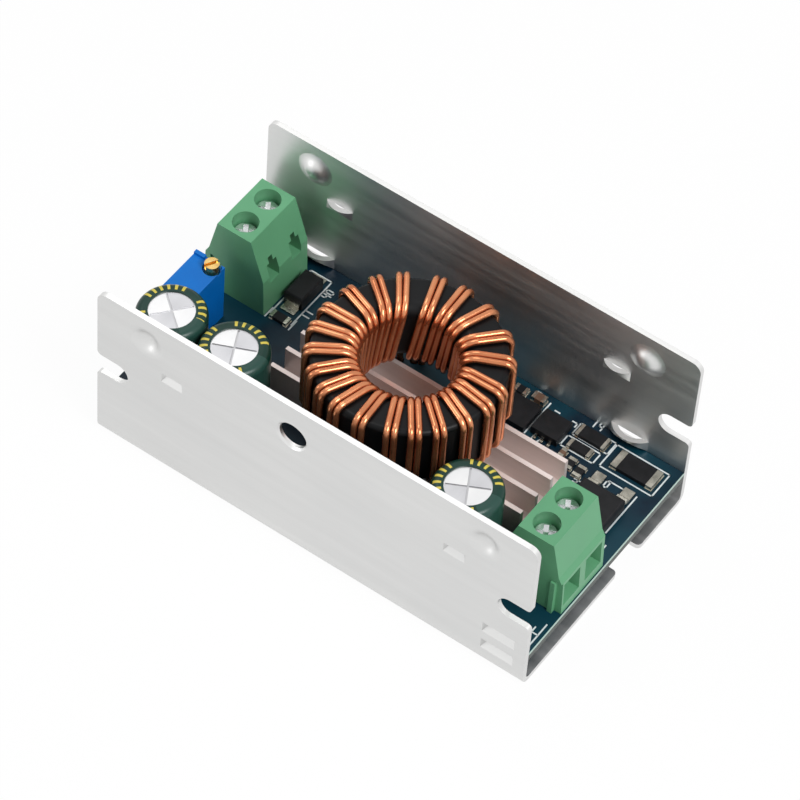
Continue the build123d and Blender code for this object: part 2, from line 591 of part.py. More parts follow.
def solder_joints():
    """A cone of solder round each pin, under the board. A pair of wires shares one."""
    solder = Part()
    for x, y, radius in through_pins():
        cone = Cone(radius + SOLDER_COLLAR, radius + SOLDER_FLARE, SOLDER_HEIGHT)
        solder += Pos(x, y, BOARD_BOTTOM - SOLDER_HEIGHT / 2) * cone
    for x, y, radius in through_pins():
        solder -= post(x, y, PIN_TIP - OVERCUT, BOARD_TOP, radius)
    return group(solder.solids())


def heatsink_middle():
    """X of the heatsink's middle; its end stands just behind the input block."""
    return input_block_rear() - HEATSINK_BLOCK_GAP - HEATSINK_LENGTH / 2


def heatsink_sides():
    """Y of the heatsink's near and far faces, beside the row of cans."""
    near = capacitor_places()[0][1] + SLEEVE_RADIUS + HEATSINK_CAPACITOR_GAP
    return near, WALL_INSIDE - HEATSINK_WALL_GAP


def power_transistors():
    """Flat power packages in a row under the heatsink, soldered to the board."""
    length, width, height = TRANSISTOR_SIZE
    first = heatsink_middle() - TRANSISTOR_PITCH * (TRANSISTOR_COUNT - 1) / 2
    y = sum(heatsink_sides()) / 2
    return group([Pos(first + TRANSISTOR_PITCH * k, y, BOARD_TOP + height / 2) * Box(length, width, height)
                  for k in range(TRANSISTOR_COUNT)])


def thermal_pad():
    """Soft pad between the transistors and the heatsink."""
    bottom = BOARD_TOP + TRANSISTOR_SIZE[2]
    near, far = heatsink_sides()
    half_length = HEATSINK_LENGTH / 2 - PAD_MARGIN
    middle = heatsink_middle()
    return box_between(middle - half_length, middle + half_length, near + PAD_MARGIN, far - PAD_MARGIN,
                       bottom, bottom + PAD_THICKNESS)


def heatsink():
    """Finned extrusion that lies along the channel."""
    bottom = BOARD_TOP + TRANSISTOR_SIZE[2] + PAD_THICKNESS
    start = heatsink_middle() - HEATSINK_LENGTH / 2
    end = heatsink_middle() + HEATSINK_LENGTH / 2
    near, far = heatsink_sides()
    pitch = (far - near - FIN_THICKNESS) / (FIN_COUNT - 1)
    sink = box_between(start, end, near, far, bottom, bottom + HEATSINK_BASE)
    for k in range(FIN_COUNT):
        fin = near + pitch * k
        sink += box_between(start, end, fin, fin + FIN_THICKNESS, bottom, FIN_TOP)
    return sink


def choke_point(radius, angle):
    """A place at this radius and angle about the choke's axis."""
    return (CHOKE_X + radius * cos(radians(angle)), CHOKE_Y + radius * sin(radians(angle)))


def wire_rim_radius():
    """Radius of the wire's middle outside the core."""
    return CORE_RADIUS + WIRE_STANDOFF


def toroid_core():
    """Coated ring core, more rounded in its bore than at its rim."""
    ring = Cylinder(CORE_RADIUS, CORE_HEIGHT) - Cylinder(CORE_BORE_RADIUS, CORE_HEIGHT)
    ring = fillet(ring.edges().filter_by(GeomType.CIRCLE).sort_by(SortBy.RADIUS)[:2], CORE_BORE_EDGE)
    ring = fillet(ring.edges().filter_by(GeomType.CIRCLE).sort_by(SortBy.RADIUS)[-2:], CORE_RIM_EDGE)
    return Pos(CHOKE_X, CHOKE_Y, CORE_BOTTOM + CORE_HEIGHT / 2) * ring


def winding_strand(side):
    """One of the two wires: up outside, in over the top, down the bore, out below."""
    rim = wire_rim_radius()
    bore = CORE_BORE_RADIUS - WIRE_STANDOFF
    low = CORE_BOTTOM - WIRE_STANDOFF
    high = CORE_BOTTOM + CORE_HEIGHT + WIRE_STANDOFF
    outer = side * RIM_SPREAD
    inner = side * BORE_SPREAD
    rim_bend = CORE_RIM_EDGE + WIRE_STANDOFF
    bore_bend = CORE_BORE_EDGE + WIRE_STANDOFF
    start = (*choke_point(rim, RIM_ANGLES[0] + outer), PIN_TIP)
    last = LAST_LEAD_ANGLE + 360 + outer
    corners = []
    for k, (rim_angle, bore_angle) in enumerate(zip(RIM_ANGLES, BORE_ANGLES)):
        if k > 0:
            corners.append((rim, rim_angle + outer, low, rim_bend))
        corners.append((rim, rim_angle + outer, high, rim_bend))
        corners.append((bore, bore_angle + inner, high, bore_bend))
        corners.append((bore, bore_angle + BORE_SKEW + inner, low, bore_bend))
    corners.append((rim, last, low, rim_bend))
    points = [(*choke_point(radius, angle), z) for radius, angle, z, bend in corners]
    end = (*choke_point(rim, last), PIN_TIP)
    path = FilletPolyline(start, *points, end, radius=[bend for radius, angle, z, bend in corners])
    return sweep(Plane(origin=start, z_dir=(0, 0, 1)) * Circle(WIRE_DIAMETER / 2), path=path)


def board_place(inset, from_wall, at_input=True):
    """A place on the board's top, from its inset and its distance from the far wall."""
    x = END - inset
    return Pos(x if at_input else -x, WALL_INSIDE - from_wall, BOARD_TOP)


def chip(spec, terminal, at_input=True):
    """A chip's middle and its two metal ends."""
    inset, from_wall, turn, length, width, height = spec
    here = board_place(inset, from_wall, at_input) * Pos(0, 0, height / 2) * Rot(0, 0, turn)
    middle = here * Box(length - 2 * terminal, width, height)
    offset = (length - terminal) / 2
    ends = [here * Pos(side * offset, 0, 0) * Box(terminal, width, height) for side in (-1, 1)]
    return middle, ends


def chip_family(chips):
    """Bodies and terminals of like chips."""
    bodies = [middle for middle, ends in chips]
    terminals = [end for middle, ends in chips for end in ends]
    return group(bodies), group(terminals)


def rectifier_diode():
    """Moulded diode and the two metal strips that wrap under its ends."""
    width, length, height = DIODE_BODY
    strip_width, strip = DIODE_STRIP
    here = board_place(*DIODE_PLACE, at_input=False)
    body = here * box_between(-width / 2, width / 2, -length / 2, length / 2, BODY_LIFT, height)
    body = chamfer(body.edges().group_by(Axis.Z)[-1], BODY_EDGE)
    strips = []
    half = strip_width / 2
    for side in (-1, 1):
        near = side * length / 2
        far = side * DIODE_SPAN / 2
        flat = box_between(-half, half, min(near, far), max(near, far), 0, strip)
        upright = box_between(-half, half, min(near, near + side * strip),
                              max(near, near + side * strip), 0, height / 2)
        strips.append(here * (flat + upright))
    return body, group(strips)


def gull_lead(width, thickness, start, reach, height):
    """Lead that leaves a body along +Y, drops to the board and lies flat."""
    knee = start + reach / 3
    foot = start + reach / 2
    profile = Polyline((start, height), (knee, height), (foot, thickness), (start + reach, thickness),
                       (start + reach, 0), (foot - thickness, 0), (knee - thickness, height - thickness),
                       (start, height - thickness), close=True)
    return extrude(Plane.YZ * make_face(profile), width / 2, both=True)


def driver_chip():
    """Small gull-wing package and its leads."""
    width, length, height = DRIVER_BODY
    lead_width, lead_thickness = DRIVER_LEAD
    here = board_place(*DRIVER_PLACE)
    body = here * box_between(-width / 2, width / 2, -length / 2, length / 2, 2 * BODY_LIFT, height)
    reach = (DRIVER_SPAN - length) / 2
    lead = gull_lead(lead_width, lead_thickness, length / 2, reach, height / 2)
    leads = []
    for turn in (0, 180):
        for k in range(DRIVER_LEADS_A_SIDE):
            offset = (k - (DRIVER_LEADS_A_SIDE - 1) / 2) * DRIVER_LEAD_PITCH
            leads.append(here * Rot(0, 0, turn) * Pos(offset, 0, 0) * lead)
    return body, group(leads)


def power_package():
    """Larger package beside the input block, with two leads and a metal tab."""
    width, length, height = PACKAGE_BODY
    lead_width, lead_thickness = PACKAGE_LEAD
    tab_width, tab_reach, tab_thickness = PACKAGE_TAB
    here = board_place(*PACKAGE_PLACE)
    body = here * box_between(-width / 2, width / 2, -length / 2, length / 2, BODY_LIFT, height)
    body = chamfer(body.edges().group_by(Axis.Z)[-1], BODY_EDGE)
    lead = gull_lead(lead_width, lead_thickness, length / 2, PACKAGE_LEAD_REACH, height / 2)
    half_pitch = PACKAGE_LEAD_PITCH / 2
    metal = [here * Pos(x, 0, 0) * lead for x in (-half_pitch, half_pitch)]
    rear = -length / 2
    half_tab = tab_width / 2
    metal.append(here * box_between(-half_tab, half_tab, rear - tab_reach, rear, 0, tab_thickness))
    return body, group(metal)


def control_chip():
    """Flat leadless package."""
    width, length, height = CONTROL_CHIP_SIZE
    return board_place(*CONTROL_CHIP_PLACE) * Pos(0, 0, height / 2) * Box(width, length, height)


def terminal_block_parts(name, is_input):
    """A block's housing, and each pole's screw, clamp and contact."""
    here = block_location(is_input)
    parts = {name + "_terminal_housing": here * terminal_housing()}
    for number, y in enumerate(POLES, start=1):
        spot = here * Pos(0, y, 0)
        parts[f"{name}_screw_{number}"] = spot * clamp_screw()
        parts[f"{name}_clamp_{number}"] = spot * clamp_cage()
        parts[f"{name}_contact_{number}"] = spot * contact_bar()
    return parts


def all_parts():
    """Every sub-part by its node name."""
    parts = {"case_channel": case_channel(),
             "circuit_board": circuit_board(),
             "solder_joints": solder_joints(),
             "power_transistors": power_transistors(),
             "thermal_pad": thermal_pad(),
             "heatsink": heatsink(),
             "toroid_core": toroid_core(),
             "winding_strand_1": winding_strand(-1),
             "winding_strand_2": winding_strand(1),
             "control_chip": control_chip()}
    parts.update(terminal_block_parts("input", True))
    parts.update(terminal_block_parts("output", False))
    for number, (place, turn) in enumerate(zip(capacitor_places(), VENT_TURNS), start=1):
        here = Pos(*place, BOARD_TOP)
        parts[f"capacitor_{number}_can"] = here * capacitor_can(turn)
        parts[f"capacitor_{number}_sleeve"] = here * capacitor_sleeve()
        parts[f"capacitor_{number}_seal"] = here * capacitor_seal()
        parts[f"capacitor_{number}_leads"] = group([here * lead for lead in capacitor_leads()])
    body, screw, pins = trimmer_parts()
    parts.update({"trimmer_body": body, "trimmer_screw": screw, "trimmer_pins": pins})
    resistors = [chip(spec, CHIP_TERMINAL) for spec in INPUT_CHIP_RESISTORS]
    resistors.append(chip(OUTPUT_CHIP_RESISTOR, CHIP_TERMINAL, at_input=False))
    pairs = {"chip_resistor": chip_family(resistors),
             "chip_capacitor": chip_family([chip(spec, CHIP_TERMINAL) for spec in CHIP_CAPACITORS]),
             "shunt_resistor": chip_family([chip(SHUNT_RESISTOR, SHUNT_TERMINAL)])}
    for name, (bodies, ends) in pairs.items():
        parts[name + "_body"] = bodies
        parts[name + "_terminals"] = ends
    leaded = {"rectifier_diode": rectifier_diode(),
              "driver_chip": driver_chip(),
              "power_package": power_package()}
    for name, (body, leads) in leaded.items():
        parts[name + "_body"] = body
        parts[name + "_leads"] = leads
    return parts


os.makedirs("parts", exist_ok=True)
for node, shape in all_parts().items():
    export_step(shape, f"parts/{node}.step")
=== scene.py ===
import math

import bpy
from mathutils import Matrix, Vector


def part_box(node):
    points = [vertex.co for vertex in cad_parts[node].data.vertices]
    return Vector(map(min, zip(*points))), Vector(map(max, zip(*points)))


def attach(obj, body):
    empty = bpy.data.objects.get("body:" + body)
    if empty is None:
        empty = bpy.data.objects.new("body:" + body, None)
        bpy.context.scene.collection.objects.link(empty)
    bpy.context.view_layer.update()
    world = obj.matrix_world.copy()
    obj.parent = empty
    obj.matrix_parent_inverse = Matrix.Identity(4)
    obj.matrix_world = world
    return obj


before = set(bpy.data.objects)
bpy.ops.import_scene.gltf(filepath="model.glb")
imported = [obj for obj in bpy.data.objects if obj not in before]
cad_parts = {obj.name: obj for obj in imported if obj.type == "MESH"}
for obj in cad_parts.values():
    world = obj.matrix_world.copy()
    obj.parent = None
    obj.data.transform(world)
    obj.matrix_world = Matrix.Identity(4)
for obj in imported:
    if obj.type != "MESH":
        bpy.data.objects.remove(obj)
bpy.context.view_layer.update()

MM = 0.001

# How each sleeve's marks are turned, and how each can's quarters, with their painted light and shade, are
# turned to its score, in degrees
SLEEVE_TURNS = (20, 75, 200)
SCORE_TURNS = (-39, -65, -62)
# The painted reflection down the same side of every sleeve: its middle and half its width, in degrees
PAINTED_REFLECTION_ANGLE = -12
PAINTED_REFLECTION_HALF = 26
# Plain bars round each sleeve, in groups: how many to a turn, and how much of its step each one fills
BAR_COUNT = 24
BAR_SHARE = 0.38
GROUP_COUNT = 3
GROUP_SHARE = 0.7
# Bars on the sleeve's shoulder: how far in they lie, half their length, and how far down the shoulder goes
SHOULDER_BAR_INSET = 0.85 * MM
SHOULDER_BAR_HALF = 0.55 * MM
SHOULDER_DEPTH = 0.75 * MM
# Bars on the sleeve's side: how far below the top they lie, and half their length
SIDE_BAR_DROP = 3.4 * MM
SIDE_BAR_HALF = 0.9 * MM
# The can's face: how far out the painted light and shade of its quarters blends towards an even grey, and the
# reach and depth of the pressed score
CAN_PAINTED_LIGHT_FADE_RADIUS = 3.2 * MM
SCORE_RADIUS = 3.1 * MM
SCORE_DEPTH = 0.05 * MM

# The board's cut ends: how deep their colour goes in, and how high the pale line under the top face is. Below
# that line the cut ends are painted in shade.
CUT_SKIN = 0.03 * MM
PALE_LINE = 0.5 * MM

# White print and tinned pads on the board, in millimetres. Each line is a row of (x, y) corners.
PRINT_WIDTH = 0.22
PRINT_HEIGHT = 0.02
PAD_HEIGHT = 0.03
PAD_MARGIN = 0.1
BOARD_LINES = [
    # Frame round the large resistor
    [(25.2, 12.55), (25.2, 17.0), (33.67, 17.0), (33.67, 12.55), (25.2, 12.55)],
    # Beside the larger package
    [(27.8, 11.2), (29.9, 11.2)], [(32.13, 3.8), (32.13, 11.2)],
    # Round two chip resistors
    [(19.3, 14.8), (19.3, 17.1), (25.0, 17.1), (25.0, 14.8), (19.3, 14.8)],
    [(19.0, 12.3), (19.0, 14.3), (24.3, 14.3), (24.3, 12.3), (19.0, 12.3)],
    # Corners of the driver chip and the side of the control chip
    [(18.2, 16.65), (18.95, 16.65), (18.95, 16.0)], [(18.3, 12.4), (18.96, 12.4)],
    [(15.3, 16.7), (16.0, 16.7)], [(14.08, 11.05), (14.08, 17.34)],
    # Round the diode and the chip beside it
    [(-25.4, 6.9), (-25.4, 16.4), (-21.8, 16.4), (-21.8, 6.9)],
    [(-25.6, 6.0), (-25.6, 7.8)], [(-21.6, 6.0), (-21.6, 7.8)],
    # Plus and minus by the input block
    [(32.4, -15.5), (34.2, -15.5)], [(33.3, -16.4), (33.3, -14.6)], [(33.3, 0.4), (33.3, 2.0)],
    # Outline of the input block's place
    [(34.3, -13.4), (34.3, -18.0)], [(27.0, 1.0), (31.0, 1.0)],
]
# Plain figures, each drawn in a cell that is one wide and two high
FIGURES = {
    0: [[(0, 0), (1, 0), (1, 2), (0, 2), (0, 0)]],
    1: [[(0.5, 0), (0.5, 2)]],
    4: [[(0, 2), (0, 1), (1, 1)], [(1, 2), (1, 0)]],
    7: [[(0, 2), (1, 2), (0.4, 0)]],
}
# Millimetres to a cell, and cells from one figure to the next
FIGURE_SIZE = 0.55
FIGURE_STEP = 1.6
# Figures, then where they stand in millimetres and how they are turned in degrees
BOARD_FIGURES = [
    ((1, 0), (26.6, 10.0), 0), ((1, 4), (20.6, 17.6), 0), ((1, 7), (15.1, 10.6), 0),
    ((4,), (24.9, 8.2), 90), ((1, 1), (-20.6, 9.0), 90), ((7,), (11.6, 16.9), 0),
    ((4, 0), (-20.4, 13.6), 90), ((0, 1), (31.2, 7.0), 90),
]
# Corners that agree to this many decimals of a millimetre count as one
CORNER_DECIMALS = 3

# Camera, fitted to the picture
CAMERA_PLACE = (0.19852956, -0.32315789, 0.49631397)
CAMERA_RIGHT = (0.81523021, 0.5767699, 0.05230849)
CAMERA_UP = (-0.48095505, 0.62394081, 0.6159384)
CAMERA_BACK = (0.32261733, -0.52728963, 0.78605579)
CAMERA_NEAREST = 0.05
CAMERA_FARTHEST = 20.0
PICTURE_WIDTH = 800
FOCAL_PIXELS = 4605.8758
SENSOR_WIDTH = 36.0

# Floor: half its side and its drop in metres, and how much plain white it shows
FLOOR_HALF = 3.0
FLOOR_DROP = 0.05 * MM
FLOOR_WHITE_SHARE = 0.96
# Strength of the soft light all round
WORLD_LEVEL = 0.27
# Each lamp's name, place and size in metres, and power in watts. All of them aim at one place.
LAMPS = [
    ("key", (0.45, -0.1, 0.55), 0.35, 3.5),
    ("top", (-0.3, 0.1, 0.66), 0.4, 1.2),
    ("left", (-0.6, -0.5, 0.3), 0.4, 1.4),
]
LAMP_AIM = (0, 0, 0.015)


def linear(red, green, blue):
    """A colour written as it looks on screen, 0 to 255, as shader values."""
    def one(value):
        value = value / 255
        return value / 12.92 if value <= 0.04045 else ((value + 0.055) / 1.055) ** 2.4
    return (one(red), one(green), one(blue), 1.0)


class Shade:
    """A small helper that builds a node material."""

    def __init__(self, name):
        self.material = bpy.data.materials.new(name)
        self.material.use_nodes = True
        self.nodes = self.material.node_tree.nodes
        self.links = self.material.node_tree.links
        self.surface = self.nodes["Principled BSDF"]
        self.place = self.nodes.new("ShaderNodeTexCoord").outputs["Object"]

    def link(self, source, target):
        self.links.new(source, target)

    def stretched(self, scale):
        """The place in the row's frame, scaled by these three numbers."""
        node = self.nodes.new("ShaderNodeMapping")
        node.inputs["Scale"].default_value = scale
        self.link(self.place, node.inputs["Vector"])
        return node.outputs["Vector"]

    def noise(self, scale, detail=4.0, stretch=None, rough=0.5):
        """A soft cloud from 0 to 1. A larger scale makes it finer."""
        node = self.nodes.new("ShaderNodeTexNoise")
        node.inputs["Scale"].default_value = scale
        node.inputs["Detail"].default_value = detail
        node.inputs["Roughness"].default_value = rough
        self.link(self.stretched(stretch) if stretch else self.place, node.inputs["Vector"])
        return node.outputs["Fac"]

    def ramp(self, source, stops):
        """Turns a value into a colour that runs from stop to stop."""
        node = self.nodes.new("ShaderNodeValToRGB")
        elements = node.color_ramp.elements
        while len(elements) < len(stops):
            elements.new(0.5)
        for element, (where, colour) in zip(elements, stops):
            element.position = where
            element.color = colour
        self.link(source, node.inputs["Fac"])
        return node.outputs["Color"]

    def math(self, operation, first, second=0.0):
        """One sum on two values, each a number or another node's output."""
        node = self.nodes.new("ShaderNodeMath")
        node.operation = operation
        for socket, value in zip(node.inputs, (first, second)):
            if isinstance(value, (int, float)):
                socket.default_value = value
            else:
                self.link(value, socket)
        return node.outputs["Value"]

    def span(self, source, low, high, out_low=0.0, out_high=1.0):
        """Carries a value smoothly from one span over to another."""
        node = self.nodes.new("ShaderNodeMapRange")
        node.interpolation_type = "SMOOTHSTEP"
        for name, value in (("From Min", low), ("From Max", high), ("To Min", out_low), ("To Max", out_high)):
            node.inputs[name].default_value = value
        self.link(source, node.inputs["Value"])
        return node.outputs["Result"]

    def axes(self):
        """The place's X, Y and Z, in metres in the row's frame."""
        node = self.nodes.new("ShaderNodeSeparateXYZ")
        self.link(self.place, node.inputs["Vector"])
        return node.outputs["X"], node.outputs["Y"], node.outputs["Z"]

    def mix(self, factor, first, second):
        """The first colour where the factor is zero, the second where it is one."""
        node = self.nodes.new("ShaderNodeMix")
        node.data_type = "RGBA"
        self.link(factor, node.inputs["Factor"])
        for name, value in (("A", first), ("B", second)):
            socket = [s for s in node.inputs if s.name == name and s.type == "RGBA"][0]
            if isinstance(value, tuple):
                socket.default_value = value
            else:
                self.link(value, socket)
        return [s for s in node.outputs if s.type == "RGBA"][0]

    def bump(self, height, distance, strength):
        """Makes the surface look finely uneven."""
        node = self.nodes.new("ShaderNodeBump")
        node.inputs["Distance"].default_value = distance
        node.inputs["Strength"].default_value = strength
        self.link(height, node.inputs["Height"])
        self.link(node.outputs["Normal"], self.surface.inputs["Normal"])

    def finish(self, colour, roughness, metallic=0.0, specular=0.5):
        """Sets the surface and hands the material back."""
        if isinstance(colour, tuple):
            self.surface.inputs["Base Color"].default_value = colour
        else:
            self.link(colour, self.surface.inputs["Base Color"])
        if isinstance(roughness, (int, float)):
            self.surface.inputs["Roughness"].default_value = roughness
        else:
            self.link(roughness, self.surface.inputs["Roughness"])
        self.surface.inputs["Metallic"].default_value = metallic
        self.surface.inputs["Specular IOR Level"].default_value = specular
        return self.material


def two_tone(name, dark, light, scale, roughness, metallic=0.0, grain=0.0, stretch=None, specular=0.5):
    """A finish that drifts between two near colours, with matching roughness and a fine grain."""
    shade = Shade(name)
    cloud = shade.noise(scale, stretch=stretch)
    colour = shade.ramp(cloud, [(0.3, dark), (0.7, light)])
    rough = shade.span(cloud, 0.25, 0.75, roughness - 0.05, roughness + 0.05)
    if grain:
        shade.bump(shade.noise(scale * 6, stretch=stretch), grain, strength=0.5)
    return shade.finish(colour, rough, metallic, specular)


def dress(node, material):
    """Gives a node's object one material."""
    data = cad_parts[node].data
    data.materials.clear()
    data.materials.append(material)


def sheet_metal():
    """Rolled aluminium: fine streaks along the channel over a slow drift in brightness."""
    shade = Shade("rolled_aluminium")
    streaks = shade.noise(90.0, detail=6.0, stretch=(0.35, 6.0, 6.0), rough=0.6)
    cloud = shade.noise(60.0, detail=3.0)
    base = shade.ramp(streaks, [(0.3, linear(214, 214, 213)), (0.7, linear(222, 222, 221))])
    base = shade.mix(shade.span(cloud, 0.3, 0.8, 0.0, 0.3), base, linear(208, 209, 209))
    shade.bump(streaks, 0.01 * MM, strength=0.2)
    rough = shade.span(streaks, 0.3, 0.7, 0.38, 0.46)
    return shade.finish(base, rough, metallic=1.0)


def board_finish():
    """Dark blue solder mask on the faces. The cut ends are pale along the top, with painted shade below."""
    shade = Shade("board_blue")
    weave = shade.noise(420.0, detail=2.0)
    cloud = shade.noise(70.0, detail=2.0)
    mask = shade.ramp(weave, [(0.35, linear(2, 27, 43)), (0.65, linear(4, 37, 53))])
    mask = shade.mix(shade.span(cloud, 0.45, 0.6, 0.0, 0.8), mask, linear(5, 56, 70))
    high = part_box("circuit_board")[1]
    x, _, z = shade.axes()
    cut = shade.math("GREATER_THAN", shade.math("ABSOLUTE", x), high[0] - CUT_SKIN)
    upper = shade.math("GREATER_THAN", z, high[2] - PALE_LINE)
    # Painted shade: each cut end is dark below the pale line along its top.
    pale_top_over_painted_shade = shade.mix(upper, linear(70, 76, 72), linear(176, 200, 190))
    shade.bump(weave, 0.01 * MM, strength=0.2)
    rough = shade.span(cloud, 0.2, 0.8, 0.36, 0.44)
    return shade.finish(shade.mix(cut, mask, pale_top_over_painted_shade), rough, specular=0.22)


def polar(shade, node):
    """Angle and radius about a node's upright middle line, and the height."""
    low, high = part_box(node)
    x, y, z = shade.axes()
    across = shade.math("SUBTRACT", x, (low[0] + high[0]) / 2)
    along = shade.math("SUBTRACT", y, (low[1] + high[1]) / 2)
    squares = shade.math("ADD", shade.math("MULTIPLY", across, across), shade.math("MULTIPLY", along, along))
    return shade.math("ARCTAN2", along, across), shade.math("SQRT", squares), z


def near_value(shade, source, middle, half):
    """One where the source is within half of the middle, zero elsewhere."""
    return shade.math("LESS_THAN", shade.math("ABSOLUTE", shade.math("SUBTRACT", source, middle)), half)


def turned_by(shade, angle, degrees):
    """An angle turned on by some degrees, kept above zero."""
    return shade.math("ADD", angle, math.radians(degrees) + 2 * math.pi)


def beats(shade, angle, count, share):
    """Evenly spaced marks round a turn, each this share of its step wide."""
    step = shade.math("FRACT", shade.math("MULTIPLY", angle, count / (2 * math.pi)))
    return shade.math("LESS_THAN", step, share)


def sleeve_finish(number, turn):
    """Dark green film with a painted reflection down one side and plain yellow bars round its top and side.
    """
    node = f"capacitor_{number}_sleeve"
    shade = Shade(f"sleeve_{number}")
    angle, radius, z = polar(shade, node)
    low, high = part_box(node)
    outer = (high[0] - low[0]) / 2
    film = shade.ramp(shade.noise(200.0), [(0.3, linear(9, 46, 38)), (0.7, linear(14, 56, 46))])
    # Painted reflection: a paler band down the same side of every sleeve, whatever its turn. The yellow bars
    # are left out under it.
    painted_reflection = near_value(shade, angle, math.radians(PAINTED_REFLECTION_ANGLE), math.radians(PAINTED_REFLECTION_HALF))
    film = shade.mix(painted_reflection, film, linear(38, 72, 64))
    turned = turned_by(shade, angle, turn)
    bars = beats(shade, turned, BAR_COUNT, BAR_SHARE)
    shoulder = near_value(shade, radius, outer - SHOULDER_BAR_INSET, SHOULDER_BAR_HALF)
    top = shade.math("GREATER_THAN", z, high[2] - SHOULDER_DEPTH)
    top_bars = shade.math("MULTIPLY", shade.math("MULTIPLY", bars, shoulder), top)
    side_bars = shade.math("MULTIPLY", bars, near_value(shade, z, high[2] - SIDE_BAR_DROP, SIDE_BAR_HALF))
    groups = beats(shade, turned, GROUP_COUNT, GROUP_SHARE)
    marks = shade.math("MULTIPLY", shade.math("MAXIMUM", top_bars, side_bars), groups)
    marks = shade.math("MULTIPLY", marks, shade.math("SUBTRACT", 1.0, painted_reflection))
    return shade.finish(shade.mix(marks, film, linear(214, 196, 84)), 0.3, specular=0.3)


def can_finish(number, turn):
    """Brushed can whose four pressed quarters carry painted light and shade, lighter and darker by turns, and
    whose pressed score is painted in shade.
    """
    node = f"capacitor_{number}_can"
    shade = Shade(f"can_{number}")
    angle, radius, z = polar(shade, node)
    # Painted light and shade: alternate quarters of the face are lighter and darker.
    painted_light_quarter = beats(shade, turned_by(shade, angle, -turn), 2, 0.5)
    brushed = shade.noise(500.0, detail=3.0, stretch=(1.0, 0.15, 1.0))
    light = shade.ramp(brushed, [(0.3, linear(212, 212, 212)), (0.7, linear(220, 220, 220))])
    dark = shade.ramp(brushed, [(0.3, linear(176, 176, 179)), (0.7, linear(188, 188, 191))])
    colour = shade.mix(painted_light_quarter, dark, light)
    # Further out, the painted quarters blend part of the way towards an even grey.
    painted_light_fade = shade.span(radius, 0.0, CAN_PAINTED_LIGHT_FADE_RADIUS, 0.0, 0.35)
    colour = shade.mix(painted_light_fade, colour, linear(204, 204, 206))
    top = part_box(node)[1][2]
    # Painted shade: the sunk score within the score's reach is coloured darker than the face.
    sunk = shade.math("LESS_THAN", z, top - SCORE_DEPTH)
    painted_score_shade = shade.math("MULTIPLY", sunk, shade.math("LESS_THAN", radius, SCORE_RADIUS))
    return shade.finish(shade.mix(painted_score_shade, colour, linear(176, 176, 178)), 0.34, metallic=0.9)


def wire_finish(name):
    """Enamelled copper: golden orange with darker, browner stretches."""
    shade = Shade(name)
    cloud = shade.noise(160.0, detail=3.0)
    colour = shade.ramp(cloud, [(0.3, linear(188, 114, 76)), (0.7, linear(216, 146, 104))])
    shade.bump(shade.noise(900.0, detail=2.0), 0.01 * MM, strength=0.2)
    return shade.finish(colour, shade.span(cloud, 0.3, 0.7, 0.18, 0.26), metallic=0.85)


STEEL = two_tone("plated_steel", linear(222, 224, 224), linear(244, 246, 246), scale=300.0, roughness=0.16,
                 metallic=1.0, grain=0.04 * MM)
SOLDER = two_tone("solder", linear(150, 148, 138), linear(206, 202, 190), scale=700.0, roughness=0.25,
                  metallic=1.0, grain=0.05 * MM)
MOULDED = two_tone("moulded_black", linear(16, 17, 19), linear(27, 27, 30), scale=700.0, roughness=0.45,
                   grain=0.01 * MM, specular=0.22)
GREEN = two_tone("moulded_green", linear(92, 154, 114), linear(98, 162, 120), scale=120.0, roughness=0.45,
                 grain=0.01 * MM, specular=0.35)
BLUE = two_tone("moulded_blue", linear(0, 102, 188), linear(2, 112, 200), scale=150.0, roughness=0.4,
                specular=0.25)
RUBBER = two_tone("seal_rubber", linear(22, 22, 22), linear(34, 34, 34), scale=300.0, roughness=0.7)
BRASS = two_tone("turned_brass", linear(196, 160, 96), linear(226, 192, 124), scale=500.0, roughness=0.25,
                 metallic=1.0)
EXTRUDED = two_tone("extruded_aluminium", linear(220, 207, 203), linear(232, 220, 216), scale=200.0,
                    roughness=0.5, metallic=0.5, grain=0.01 * MM, stretch=(0.2, 3.0, 3.0))
COATING = two_tone("core_coating", linear(6, 7, 8), linear(14, 15, 17), scale=140.0, roughness=0.4,
                   grain=0.03 * MM, specular=0.16)
CERAMIC = two_tone("fired_ceramic", linear(96, 70, 54), linear(120, 92, 72), scale=700.0, roughness=0.5)
PAD = two_tone("thermal_pad", linear(140, 142, 146), linear(156, 158, 162), scale=300.0, roughness=0.8)
PRINT = two_tone("board_print", linear(206, 214, 216), linear(226, 232, 232), scale=600.0, roughness=0.6,
                 specular=0.2)


